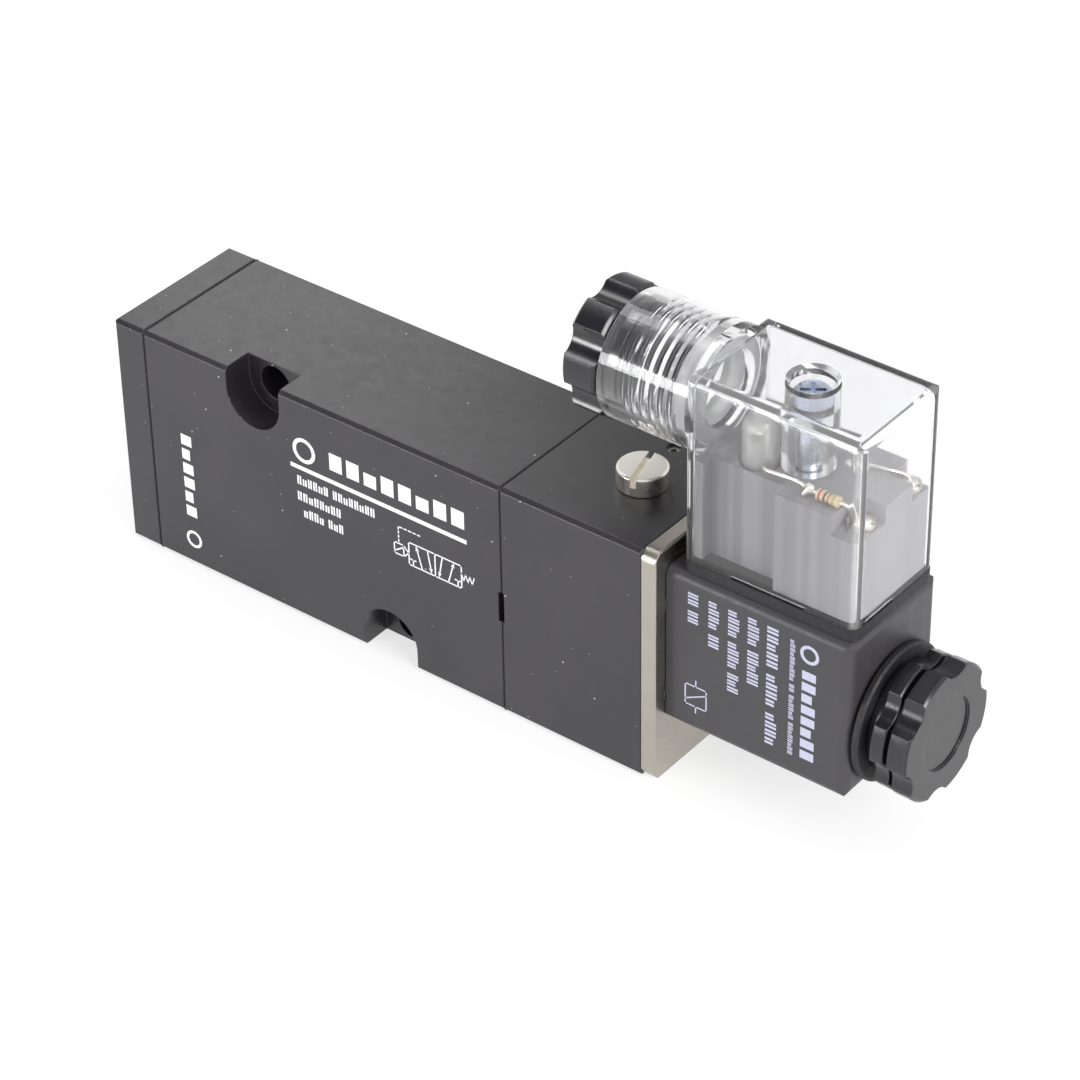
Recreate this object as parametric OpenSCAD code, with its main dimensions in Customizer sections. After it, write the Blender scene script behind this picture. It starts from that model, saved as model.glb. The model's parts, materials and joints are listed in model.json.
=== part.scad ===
// Pilot-operated 5/2 solenoid directional valve with a NAMUR mounting face, single coil and spring return.
// Origin: centre of the mounting pattern on the back face. +X towards the coil, +Y out of the back, +Z up.

/* [Valve body] */
// Length of the main body along X
body_len = 65.4; // [64:0.2:70]
// Height of the body, block, cap and plate
body_h = 38.6; // [38:0.2:41]
// Depth from the printed front face to the mounting face
body_d = 25.3; // [25:0.1:28]
// Width of the bevel along the long edges
long_bevel = 0.6; // [0.3:0.1:1]
// Overall length of the end cap with its gasket
end_cap_len = 6.5; // [6.2:0.1:9]
// Length of the pilot block with its gasket
pilot_len = 24.1; // [24:0.1:30]
// Thickness of the nickel-plated coil plate
plate_t = 2.4; // [2.2:0.1:3]

/* [Mounting pattern] */
// Spacing of the two mounting screws along X
screw_pitch_x = 24; // [24:1:24]
// Spacing of the two mounting screws along Z
screw_pitch_z = 32; // [32:1:32]
// Radius of the clearance hole for an M5 screw
screw_hole_r = 2.75; // [2.6:0.05:2.8]
// Radius of the open pocket for the screw head
head_pocket_r = 5; // [4.6:0.1:5.2]
// Depth of that pocket from the front face
head_pocket_d = 5; // [4:0.5:6]

/* [Ports and spool] */
// Tapping radius of the G1/4 ports in the bottom face
thread_port_r = 5.9; // [5.7:0.1:5.9]
// Depth of the G1/4 ports
thread_port_d = 10; // [9.5:0.1:10]
// Radius of the two ports in the mounting face
face_port_r = 4.5; // [4:0.1:5]
// Radius of the spool bore
spool_bore_r = 7; // [6.9:0.1:7]
// Distance between neighbouring ports along the spool
port_pitch = 12; // [12:1:12]

/* [Coil] */
// Length of the coil moulding along the armature tube
coil_len = 29.6; // [29:0.1:32]
// Width of the coil moulding
coil_w = 20.5; // [20:0.1:22]
// Distance from the tube axis down to the coil's underside
coil_below = 9.4; // [9.4:0.1:10]
// Distance from the tube axis up to the coil's top
coil_above = 16.3; // [16:0.1:18]
// Outer radius of the armature tube
tube_r = 4.5; // [4.3:0.1:4.5]

/* [Connector] */
// Length of the clear housing along X
housing_len = 27.7; // [27:0.1:28.5]
// Width of the clear housing
housing_w = 18.6; // [18.2:0.1:20]
// Height of the clear housing
housing_h = 29; // [28.6:0.1:31]
// Wall thickness of the clear housing
housing_wall = 1.1; // [1:0.1:1.3]
// Thickness of the flat gasket under the connector
flat_gasket_t = 1.8; // [1.6:0.1:2]
// Outer radius of the cable gland tube
gland_r = 9.3; // [9.2:0.1:9.5]
// Height of the gland axis over the housing's open bottom
gland_rise = 22; // [21.5:0.1:22]
// Length of the gland tube outside the housing
gland_len = 14.1; // [13:0.1:15]

/* [Hidden] */
$fn = 64;
eps = 0.01;

// Stations along X
body_x1 = body_len / 2;
body_x0 = -body_x1;
cap_gasket_t = 0.35;
cap_x1 = body_x0 - cap_gasket_t;
cap_x0 = body_x0 - end_cap_len;
pilot_gasket_t = 0.25;
block_x0 = body_x1 + pilot_gasket_t;
block_x1 = body_x1 + pilot_len;
plate_x1 = block_x1 + plate_t;
coil_gap = 0.1;
coil_x0 = plate_x1 + coil_gap;
coil_x1 = coil_x0 + coil_len;

// Section of the valve
half_h = body_h / 2;
front_y = -body_d;
axis_y = -body_d / 2;
seam_bevel = 0.12;
cap_bevel = 1;

// Fasteners of the cap and the block
m3_r = 1.5;
m3_tap_r = 1.55;
m3_clear_r = 1.7;
m3_head_r = 2.75;
m3_head_h = 3;
m3_pocket_r = 2.95;
m3_pocket_d = 3.2;
corner_dy = 9;
corner_dz = 15.3;
block_top_dy = 6.2;
block_top_dz = 14.8;
plate_screw_dy = 7.6;
plate_screw_z = [-5.5, 9.8];
plate_tap_d = 7.5;
corner_tap_d = 10.5;
corner_screw_grip = 9;

// Mounting face
seal_groove_in = 5.7;
seal_groove_out = 8.3;
seal_groove_d = 1.5;
face_port_d = 4;
feed_r = 2.8;
port_bevel = 0.7;

// Slot in the front seam
slot_in_body = 0.5;
slot_in_block = 0.3;
slot_d = 1.4;
slot_z0 = -3.5;
slot_z1 = 1.6;

// Spool and its bore
bore_groove_r = 8.2;
bore_groove_w = 6;
land_r = 6.6;
land_w = 3.6;
core_r = 3.6;
ring_groove_r = 5.6;
ring_groove_w = 1.5;
ring_r = 0.64;
ring_gap = 0.12;
seal_x = [-28.9, -19.5, -1.5, 4.5, 22.5, 30.9];
port_x = [-2 * port_pitch, -port_pitch, 0, port_pitch, 2 * port_pitch];
spool_x0 = seal_x[0] - land_w / 2;
spool_x1 = seal_x[5] + land_w / 2;
spring_pocket_r = 4.9;
spring_pocket_d = 3.1;
cap_pocket_r = 7.3;
cap_pocket_x = cap_x0 + 1.7;

// Pilot piston and its chamber
chamber_r = 9.5;
chamber_x1 = block_x0 + 8.3;
piston_r = 9.1;
piston_x0 = spool_x1 + 4.1;
piston_x1 = chamber_x1 - 0.4;
piston_groove_r = 8.1;
stem_r = 4;

// Manual override
override_x = 47.7;
override_bore_r = 2.95;
override_r = 2.87;
override_head_r = 3.65;
override_head_h = 3;
override_floor = 8.2;
override_slot_w = 0.9;
override_slot_a = 105;
gallery_z = 13;
gallery_r = 1.1;
pin_r = 0.8;
pin_z = 17.6;
pin_dx = 2.95;

// Pilot passages
plug_x = 46;
plug_y = -3.2;
plug_r = 1.1;
bleed_y = -4.6;
bleed_z = 3;
bleed_r = 0.9;
vent_z = -3;
vent_r = 0.7;
bypass_r = 0.55;
drop_r = 1.2;
seat_feed_r = 1;
seat_hole_r = 0.5;
seat_body_r = 1.9;
seat_tip_r = 1.2;
seat_x0 = block_x1 - 2;
seat_x1 = block_x1 + 1.1;

// Armature
tube_in_r = 3.95;
tube_flange_r = 6.6;
tube_flange_t = 1.5;
tube_groove_r = 4.7;
tube_groove_w = 1.4;
tube_groove_d = 1.2;
tube_x1 = coil_x1 - 0.9;
plunger_r = 3.87;
plunger_x0 = seat_x1 + 0.5;
plunger_travel = 1;
core_x0 = 73.6;
plunger_x1 = core_x0 - plunger_travel;
plunger_seal_r = 2;
plunger_pocket_r = 2.6;
plunger_pocket_x = 66;
stud_r = 3;
stud_x1 = coil_x1 + 6.9;

// Coil innards
coil_bore_r = 4.75;
cavity_r = 8.3;
cavity_x0 = coil_x0 + 2;
cavity_x1 = coil_x1 - 2;
yoke_t = 1.3;
yoke_sleeve_t = 0.35;
bobbin_core_r = 5.4;
bobbin_flange_t = 1;
coil_edge_r = 1.5;
face_groove_w = 1.55;
face_groove_d = 1.2;

// Connector stations
housing_x0 = 61.1;
housing_x1 = housing_x0 + housing_len;
mid_x = (housing_x0 + housing_x1) / 2;
gasket_z0 = coil_above;
housing_z0 = gasket_z0 + flat_gasket_t;
housing_z1 = housing_z0 + housing_h;
housing_top_t = 1.6;
housing_edge_r = 1.6;
gland_z = housing_z0 + gland_rise;
gland_x0 = housing_x0 - gland_len;
gland_in_r = 7.6;
gland_root_r = 8.25;
gland_hole_r = 5.2;
gland_step_x = housing_x0 - 0.5;
gland_pitch = 1.5;
insert_gap = 0.1;
insert_z0 = housing_z0 + 0.5;
insert_z1 = 34;
insert_step_d = 2;
insert_edge_r = 0.6;
shelf_z = insert_z1 - 2.8;
shelf_x0 = mid_x + 9;
rim_notch_d = 0.5;
rim_notch_h = 0.4;
rim_notch_w = 11.8;

// Connector screw
screw_r = 1.45;
screw_clear_r = 1.8;
screw_bushing_r = 2.6;
screw_hole_top_r = 3.1;
screw_hole_bevel = 0.5;
screw_mouth_r = screw_hole_top_r + screw_hole_bevel;
screw_boss_r = 3.65;
screw_boss_z0 = insert_z1 + 0.2;
screw_head_r = 2.75;
screw_head_h = 2.3;
screw_seat_z = 42.2;
screw_seal_t = 0.9;
screw_z0 = 9.8;
bushing_z0 = 9.3;

// Blades and clips
blade_w = 6.3;
blade_t = 0.8;
blade_dx = 5.5;
earth_dy = 5.6;
blade_z0 = 9.3;
blade_z1 = 25;
clip_t = 2.4;
clip_slot = 1.3;
clip_half = 3.6;
clip_z1 = insert_z0 + 9;

// Wire clamp screws: x, y and the height of the surface that they sit in
clamp_points = [
    [mid_x + 10.75, axis_y - 4.3, shelf_z],
    [mid_x + 10.75, axis_y + 6.3, shelf_z],
    [mid_x - 9.6, axis_y + 4.8, insert_z1],
];
clamp_hole_r = 1.55;
clamp_hole_d = 3.2;

// Indicator lamp and its resistor
led_x = mid_x - 5.65;
led_y = axis_y - 2.85;
led_r = 2.5;
led_h = 6.6;
led_flange_r = 2.9;
led_sunk = 1.5;
resistor_x0 = mid_x + 5.4;
resistor_len = 3.4;
resistor_y = axis_y - 5.75;
resistor_z = insert_z1 + 0.85;

// Knobs
nut_lobes = 6;
nut_scallop = 20;
gland_lobes = 7;
gland_scallop = 101;
nut_x0 = coil_x1 + 1.7;
nut_flange_x0 = nut_x0 + 1.4;
nut_neck_x0 = nut_x0 + 3.5;
nut_neck_x1 = nut_x0 + 4.1;
nut_x1 = nut_x0 + 7.3;
nut_washer_x0 = coil_x1 + 0.1;
nut_washer_x1 = nut_washer_x0 + 1.4;
gland_nut_x0 = gland_x0 - 5.6;
gland_nut_x1 = gland_x0 - 0.4;
gland_nut_bore_r = 4.2;
gland_thread_len = 5.6;
gland_plain_len = 3.4;

// Colours
anodised = [0.13, 0.13, 0.14];
black_plastic = [0.09, 0.09, 0.1];
rubber = [0.05, 0.05, 0.05];
nickel = [0.8, 0.78, 0.73];
zinc = [0.7, 0.75, 0.82];
steel = [0.6, 0.6, 0.62];
brass_tone = [0.78, 0.62, 0.3];
copper = [0.72, 0.42, 0.25];
clear = [0.9, 0.93, 0.96, 0.35];
frosted = [0.92, 0.92, 0.9, 0.8];
cream = [0.85, 0.76, 0.6];

// ---- Placing helpers ----

// Extrude a (y, z) outline along X
module along_x(x0, x1) {
    translate([x0, 0, 0]) rotate([90, 0, 90]) linear_extrude(x1 - x0) children();
}

// Extrude an (x, z) outline along Y
module along_y(y0, y1) {
    translate([0, y1, 0]) rotate([90, 0, 0]) linear_extrude(y1 - y0) children();
}

// Extrude an (x, y) outline along Z
module along_z(z0, z1) {
    translate([0, 0, z0]) linear_extrude(z1 - z0) children();
}

// Round bar along X
module bar_x(x0, x1, r, y = axis_y, z = 0) {
    translate([x0, y, z]) rotate([0, 90, 0]) cylinder(h = x1 - x0, r = r);
}

// Round bar along Y
module bar_y(y0, y1, r, x, z) {
    translate([x, y1, z]) rotate([90, 0, 0]) cylinder(h = y1 - y0, r = r);
}

// Round bar along Z
module bar_z(z0, z1, r, x, y = axis_y) {
    translate([x, y, z0]) cylinder(h = z1 - z0, r = r);
}

// Turn an (r, x) outline about an axis along X
module turned_x(z = 0) {
    translate([0, axis_y, z]) rotate([0, 90, 0]) rotate_extrude() children();
}

// Turn an (r, z) outline about a vertical axis
module turned_z(x, y = axis_y) {
    translate([x, y, 0]) rotate_extrude() children();
}

// Box from its two corners
module block(x0, x1, y0, y1, z0, z1) {
    translate([x0, y0, z0]) cube([x1 - x0, y1 - y0, z1 - z0]);
}

// Ring of round section about an axis along X
module ring_x(x, major, minor, z = 0) {
    turned_x(z) translate([major, x]) circle(minor);
}

// ---- Outline helpers ----

// Rectangle with one bevel size at the low side of the first axis and one at its high side
module bevel_rect(a0, a1, b0, b1, low, high) {
    polygon([
        [a0 + low, b0], [a1 - high, b0], [a1, b0 + high], [a1, b1 - high],
        [a1 - high, b1], [a0 + low, b1], [a0, b1 - low], [a0, b0 + low],
    ]);
}

// Rectangle with round corners, made of true arcs
module round_rect(a0, a1, b0, b1, r) {
    translate([a0 + r, b0]) square([a1 - a0 - 2 * r, b1 - b0]);
    translate([a0, b0 + r]) square([a1 - a0, b1 - b0 - 2 * r]);
    for (a = [a0 + r, a1 - r], b = [b0 + r, b1 - r]) translate([a, b]) circle(r);
}

// Disc with scallops cut round its rim, the first of them at an angle from +Y towards +Z
module lobed_disc(r, scallop_r, depth, lobes, first) {
    difference() {
        circle(r);
        for (i = [0 : lobes - 1])
            rotate(first + i * 360 / lobes) translate([r + scallop_r - depth, 0]) circle(scallop_r);
    }
}

// Rows of (r, x) points of a thread of trapezoid rings
function thread_points(x0, count, pitch, root, crest) = [
    for (i = [0 : count - 1], s = [[root, 0.1], [crest, 0.35], [crest, 0.6], [root, 0.85]])
        [s[0], x0 + (i + s[1]) * pitch]
];

// ---- Shapes that repeat ----

// Length of the valve section with bevelled edges
module section_bar(x0, x1, low, high) {
    intersection() {
        along_x(x0, x1) bevel_rect(front_y, 0, -half_h, half_h, long_bevel, long_bevel);
        along_y(front_y, 0) bevel_rect(x0, x1, -half_h, half_h, low, high);
        along_z(-half_h, half_h) bevel_rect(x0, x1, front_y, 0, low, high);
    }
}

// Box with every edge rounded by the same true arc
module round_box(x0, x1, y0, y1, z0, z1, r) {
    intersection() {
        along_x(x0, x1) round_rect(y0, y1, z0, z1, r);
        along_y(y0, y1) round_rect(x0, x1, z0, z1, r);
        along_z(z0, z1) round_rect(x0, x1, y0, y1, r);
    }
}

// Children at the four screws of the end cap
module at_cap_screws() {
    for (dy = [-corner_dy, corner_dy], z = [-corner_dz, corner_dz])
        translate([0, axis_y + dy, z]) children();
}

// Children at the four screws of the pilot block, whose upper pair clears the plugged drilling
module at_block_screws() {
    for (side = [-1, 1]) {
        translate([0, axis_y + side * corner_dy, -corner_dz]) children();
        translate([0, axis_y + side * block_top_dy, block_top_dz]) children();
    }
}

// Bar along X on the local axis
module local_bar(x0, x1, r) {
    translate([x0, 0, 0]) rotate([0, 90, 0]) cylinder(h = x1 - x0, r = r);
}

// M3 cap screw along X: the head's outer face at x_head, the shank towards x_tip
module cap_screw(x_head, x_tip) {
    side = x_tip > x_head ? 1 : -1;
    under = x_head + side * m3_head_h;
    hex_r = 1.45;
    hex_d = 1.6;
    difference() {
        union() {
            local_bar(min(x_head, under), max(x_head, under), m3_head_r);
            local_bar(min(under, x_tip), max(under, x_tip), m3_r);
        }
        translate([x_head - side * eps, 0, 0]) rotate([0, side * 90, 0])
            cylinder(h = hex_d, r = hex_r, $fn = 6);
    }
}

// Helical spring along X between two stations
module helix_spring(x0, x1, r, wire, turns) {
    steps = 18;
    sides = 8;
    rings = turns * steps;
    rise = (x1 - x0 - 2 * wire) / rings;
    points = [
        for (i = [0 : rings], j = [0 : sides - 1])
            let (a = i * 360 / steps, b = j * 360 / sides, rr = r + wire * cos(b))
            [x0 + wire + i * rise + wire * sin(b), rr * cos(a), rr * sin(a)]
    ];
    walls = [
        for (i = [0 : rings - 1], j = [0 : sides - 1])
            let (k = (j + 1) % sides)
            [i * sides + j, i * sides + k, (i + 1) * sides + k, (i + 1) * sides + j]
    ];
    first = [for (j = [sides - 1 : -1 : 0]) j];
    last = [for (j = [0 : sides - 1]) rings * sides + j];
    translate([0, axis_y, 0]) polyhedron(points, concat(walls, [first, last]));
}

// Outline of the open pocket for a mounting screw's head
module head_pocket(x, z) {
    side = z > 0 ? 1 : -1;
    along_y(front_y - eps, front_y + head_pocket_d) {
        translate([x, z]) circle(head_pocket_r);
        translate([x - head_pocket_r, side > 0 ? z : -half_h - 1])
            square([2 * head_pocket_r, half_h + 1 - abs(z)]);
    }
    bar_y(front_y, eps, screw_hole_r, x, z);
}

// Inspection slot in the front face at the seam of body and block
module seam_slot() {
    block(body_x1 - slot_in_body, block_x0 + slot_in_block,
        front_y - eps, front_y + slot_d, slot_z0, slot_z1);
}

// ---- Valve body and end cap ----

module valve_body() {
    color(anodised) difference() {
        section_bar(body_x0, body_x1, seam_bevel, seam_bevel);
        bar_x(body_x0 - eps, body_x1 + eps, spool_bore_r);
        for (x = port_x) bar_x(x - bore_groove_w / 2, x + bore_groove_w / 2, bore_groove_r);
        for (x = [port_x[0], port_x[2], port_x[4]]) {
            bar_z(-half_h - eps, -half_h + thread_port_d, thread_port_r, x);
            bar_z(-half_h, -spool_bore_r, feed_r, x);
            turned_z(x) polygon([
                [0, -half_h - eps], [thread_port_r + port_bevel, -half_h - eps],
                [thread_port_r - eps, -half_h + port_bevel], [0, -half_h + port_bevel],
            ]);
        }
        for (x = [port_x[1], port_x[3]]) {
            bar_y(-face_port_d, eps, face_port_r, x, 0);
            bar_y(axis_y + spool_bore_r, 0, feed_r, x, 0);
            difference() {
                bar_y(-seal_groove_d, eps, seal_groove_out, x, 0);
                bar_y(-seal_groove_d - eps, 2 * eps, seal_groove_in, x, 0);
            }
        }
        head_pocket(-screw_pitch_x / 2, screw_pitch_z / 2);
        head_pocket(screw_pitch_x / 2, -screw_pitch_z / 2);
        bar_z(spool_bore_r, gallery_z, gallery_r, 0);
        bar_x(-gallery_r, body_x1 + eps, gallery_r, axis_y, gallery_z);
        at_cap_screws() local_bar(body_x0 - eps, body_x0 + corner_tap_d, m3_tap_r);
        at_block_screws() local_bar(body_x1 - corner_tap_d, body_x1 + eps, m3_tap_r);
        seam_slot();
    }
}

module end_cap() {
    color(anodised) difference() {
        section_bar(cap_x0, cap_x1, cap_bevel, seam_bevel);
        bar_x(cap_pocket_x, cap_x1 + eps, cap_pocket_r);
        at_cap_screws() {
            local_bar(cap_x0 - eps, cap_x1 + eps, m3_clear_r);
            local_bar(cap_x0 - eps, cap_x0 + m3_pocket_d, m3_pocket_r);
        }
    }
}

// Flat seam gasket a little inside the outline, with a round window and its children cut out
module seam_gasket(x0, x1, window_r) {
    inset = 0.2;
    difference() {
        along_x(x0, x1) translate([front_y + inset, -half_h + inset])
            square([body_d - 2 * inset, body_h - 2 * inset]);
        bar_x(x0 - eps, x1 + eps, window_r);
        children();
    }
}

module end_cap_gasket() {
    color(rubber) seam_gasket(cap_x1, body_x0, cap_pocket_r)
        at_cap_screws() local_bar(cap_x1 - eps, body_x0 + eps, m3_clear_r);
}

module end_cap_screws() {
    head_x = cap_x0 + m3_pocket_d - m3_head_h;
    color(steel) at_cap_screws() cap_screw(head_x, body_x0 + corner_screw_grip);
}

module port_seals() {
    section_r = 0.9;
    mid = (seal_groove_in + seal_groove_out) / 2;
    color(rubber) for (x = [port_x[1], port_x[3]])
        translate([x, section_r - seal_groove_d, 0]) rotate([90, 0, 0])
            rotate_extrude() translate([mid, 0]) circle(section_r);
}

module return_spring() {
    color(steel) helix_spring(cap_pocket_x, spool_x0 + spring_pocket_d, r = 4, wire = 0.4, turns = 5);
}

// ---- Spool ----

// (r, x) outline of one land with its seal groove
function land_points(x) = [
    [core_r, x - land_w / 2], [land_r, x - land_w / 2], [land_r, x - ring_groove_w / 2],
    [ring_groove_r, x - ring_groove_w / 2], [ring_groove_r, x + ring_groove_w / 2],
    [land_r, x + ring_groove_w / 2], [land_r, x + land_w / 2], [core_r, x + land_w / 2],
];

module spool() {
    lands = [for (x = seal_x) each land_points(x)];
    color("silver") difference() {
        union() {
            turned_x() polygon(concat([[0, spool_x0]], lands, [[0, spool_x1]]));
            bar_x(spool_x1 - eps, piston_x0, stem_r);
        }
        bar_x(spool_x0 - eps, spool_x0 + spring_pocket_d, spring_pocket_r);
    }
}

module spool_seals() {
    major = spool_bore_r - ring_gap - ring_r;
    color(rubber) for (x = seal_x) ring_x(x, major, ring_r);
}

module pilot_piston() {
    mid = (piston_x0 + piston_x1) / 2;
    color(black_plastic) turned_x() polygon([
        [0, piston_x0], [piston_r, piston_x0], [piston_r, mid - ring_groove_w / 2],
        [piston_groove_r, mid - ring_groove_w / 2], [piston_groove_r, mid + ring_groove_w / 2],
        [piston_r, mid + ring_groove_w / 2], [piston_r, piston_x1], [0, piston_x1],
    ]);
}

module piston_seal() {
    mid = (piston_x0 + piston_x1) / 2;
    color(rubber) ring_x(mid, chamber_r - ring_gap - ring_r, ring_r);
}

// ---- Pilot block ----

module pilot_gasket() {
    color(rubber) seam_gasket(body_x1, block_x0, chamber_r) {
        at_block_screws() local_bar(body_x1 - eps, block_x0 + eps, m3_clear_r);
        bar_x(body_x1 - eps, block_x0 + eps, gallery_r, axis_y, gallery_z);
        seam_slot();
    }
}

module pilot_block() {
    color(anodised) difference() {
        section_bar(block_x0, block_x1, seam_bevel, seam_bevel);
        bar_x(block_x0 - eps, chamber_x1, chamber_r);
        // Supply gallery, override bore and the way down to the pilot seat
        bar_x(block_x0 - eps, override_x, gallery_r, axis_y, gallery_z);
        bar_z(override_floor, half_h + eps, override_bore_r, override_x);
        bar_z(-drop_r - 0.2, override_floor + eps, drop_r, override_x);
        bar_x(override_x, seat_x0 + eps, seat_feed_r, axis_y, 0);
        bar_x(seat_x0, block_x1 + eps, seat_body_r);
        // Passages from the armature cavity and the override to the piston
        bar_x(chamber_x1 - eps, block_x1 + eps, vent_r, axis_y, vent_z);
        bar_x(chamber_x1 - eps, override_x, bypass_r, axis_y, override_floor + bypass_r + 0.1);
        bar_x(chamber_x1 - eps, plug_x + 0.3, bleed_r, bleed_y, bleed_z);
        bar_z(bleed_z - 1.4, half_h + eps, plug_r, plug_x, plug_y);
        // Retaining pin of the override
        bar_y(axis_y - 3, eps, pin_r, override_x + pin_dx, pin_z);
        // Groove of the tube's seal
        turned_x() translate([tube_groove_r, block_x1 - tube_groove_d])
            square([tube_groove_w, tube_groove_d + eps]);
        at_block_screws() {
            local_bar(block_x0 - eps, block_x1 + eps, m3_clear_r);
            local_bar(block_x1 - m3_pocket_d, block_x1 + eps, m3_pocket_r);
        }
        at_plate_screws() local_bar(block_x1 - plate_tap_d, block_x1 + eps, m3_tap_r);
        seam_slot();
    }
}

module pilot_block_screws() {
    head_x = block_x1 - m3_pocket_d + m3_head_h;
    color(steel) at_block_screws() cap_screw(head_x, body_x1 - corner_screw_grip);
}

module pilot_seat() {
    color(brass_tone) difference() {
        union() {
            bar_x(seat_x0, block_x1, seat_body_r);
            bar_x(block_x1 - eps, seat_x1, seat_tip_r);
        }
        bar_x(seat_x0 - eps, seat_x1 + eps, seat_hole_r);
    }
}

module gallery_plug() {
    plug_top = half_h - 0.5;
    plug_len = 3;
    socket_r = 0.45;
    socket_d = 0.7;
    color(nickel) difference() {
        bar_z(plug_top - plug_len, plug_top, plug_r, plug_x, plug_y);
        bar_z(plug_top - socket_d, plug_top + eps, socket_r, plug_x, plug_y);
    }
}

module override_pin() {
    color(steel) bar_y(axis_y - 2.8, -0.3, pin_r, override_x + pin_dx, pin_z);
}

module override_screw() {
    head_z = half_h + override_head_h;
    stem_z0 = override_floor + 0.3;
    under_head = half_h + 0.1;
    rim = 0.25;
    slot_depth = 1.4;
    slot_len = 10;
    flat_in = 1.2;
    flat_h = 2.4;
    // Waists of the stem, from the bottom: supply groove, O-ring groove, groove for the pin
    waists = [[1.5, 11.4, 14.6], [1.75, 14.8, 16], [2.05, 16.7, 18.5]];
    color(nickel) difference() {
        turned_z(override_x) polygon(concat(
            [[0, stem_z0], [override_r, stem_z0]],
            [for (w = waists) each [[override_r, w[1]], [w[0], w[1]], [w[0], w[2]], [override_r, w[2]]]],
            [[override_r, under_head], [override_head_r, under_head], [override_head_r, head_z - rim]],
            [[override_head_r - rim, head_z], [0, head_z]]
        ));
        // Screwdriver slot
        translate([override_x, axis_y, head_z - slot_depth]) rotate(override_slot_a)
            translate([-slot_len / 2, -override_slot_w / 2, 0]) cube([slot_len, override_slot_w, 2]);
        // Flat that opens the bypass when the screw is turned
        translate([override_x, axis_y, stem_z0 - eps]) rotate(90)
            translate([flat_in, -4, 0]) cube([3, 8, flat_h]);
    }
}

module override_o_ring() {
    minor = 0.55;
    color(rubber) turned_z(override_x) translate([override_bore_r - 0.08 - minor, 15.4]) circle(minor);
}

// ---- Coil plate and armature ----

// Children at the four plate screws, hidden behind the coil
module at_plate_screws() {
    for (dy = [-plate_screw_dy, plate_screw_dy], z = plate_screw_z)
        translate([0, axis_y + dy, z]) children();
}

// Countersunk head and shank along X, with the head's face at x
module flat_screw(x, grow) {
    head_r = 2.7 + grow;
    shank_r = m3_r + grow;
    translate([x, 0, 0]) rotate([0, -90, 0]) rotate_extrude() polygon([
        [0, 0], [head_r, 0], [head_r, 0.3], [shank_r, 0.3 + head_r - shank_r], [shank_r, 8], [0, 8],
    ]);
}

module coil_plate() {
    corner_r = 2;
    color(nickel) difference() {
        intersection() {
            along_x(block_x1, plate_x1) round_rect(front_y, 0, -half_h, half_h, corner_r);
            along_y(front_y, 0) bevel_rect(block_x1, plate_x1, -half_h, half_h, 0.15, 0.3);
            along_z(-half_h, half_h) bevel_rect(block_x1, plate_x1, front_y, 0, 0.15, 0.3);
        }
        bar_x(block_x1 - eps, plate_x1 + eps, tube_r + 0.05);
        bar_x(block_x1 - eps, block_x1 + tube_flange_t, tube_flange_r + 0.05);
        at_plate_screws() flat_screw(plate_x1 + eps, 0.1);
    }
}

module plate_screws() {
    recess_w = 0.8;
    recess_l = 4.4;
    recess_d = 0.8;
    color(nickel) at_plate_screws() difference() {
        flat_screw(plate_x1 - 0.05, 0);
        for (a = [0, 90]) translate([plate_x1 - recess_d, 0, 0]) rotate([a, 0, 0])
            translate([0, -recess_w / 2, -recess_l / 2]) cube([1, recess_w, recess_l]);
    }
}

module tube_o_ring() {
    color(rubber) ring_x(block_x1 - tube_groove_d / 2, tube_groove_r + tube_groove_w / 2, tube_groove_d / 2);
}

module armature_tube() {
    color(brass_tone) difference() {
        union() {
            bar_x(block_x1, block_x1 + tube_flange_t, tube_flange_r);
            bar_x(block_x1, tube_x1, tube_r);
        }
        bar_x(block_x1 - eps, tube_x1 + eps, tube_in_r);
    }
}

module fixed_core() {
    color(steel) turned_x() polygon(concat(
        [[0, core_x0], [tube_in_r, core_x0], [tube_in_r, tube_x1], [tube_r, tube_x1]],
        [[tube_r, coil_x1 - 0.1], [stud_r - 0.4, coil_x1 - 0.1]],
        thread_points(coil_x1, 6, 1, stud_r - 0.4, stud_r),
        [[stud_r - 0.4, stud_x1], [0, stud_x1]]
    ));
}

module plunger() {
    groove_d = 0.65;
    color(steel) difference() {
        bar_x(plunger_x0, plunger_x1, plunger_r);
        bar_x(plunger_x0 - eps, plunger_x0 + 1.5, plunger_seal_r);
        bar_x(plunger_pocket_x, plunger_x1 + eps, plunger_pocket_r);
        // Two air grooves along the sides
        for (side = [-1, 1]) block(plunger_x0 - eps, plunger_x1 + eps,
            axis_y + side * plunger_r - groove_d, axis_y + side * plunger_r + groove_d, -groove_d, groove_d);
    }
}

module plunger_seal() {
    color(rubber) bar_x(seat_x1, plunger_x0 + 1.5, plunger_seal_r);
}

module plunger_spring() {
    color(steel) helix_spring(plunger_pocket_x, core_x0, r = 2, wire = 0.3, turns = 6);
}

// ---- Coil ----

// Flat blade terminals, two live and one earth
module blades(z0, z1, grow) {
    for (side = [-1, 1]) {
        x = mid_x + side * blade_dx;
        block(x - blade_t / 2 - grow, x + blade_t / 2 + grow,
            axis_y - blade_w / 2 - grow, axis_y + blade_w / 2 + grow, z0, z1);
    }
    y = axis_y + earth_dy;
    block(mid_x - blade_w / 2 - grow, mid_x + blade_w / 2 + grow,
        y - blade_t / 2 - grow, y + blade_t / 2 + grow, z0, z1);
}

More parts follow.
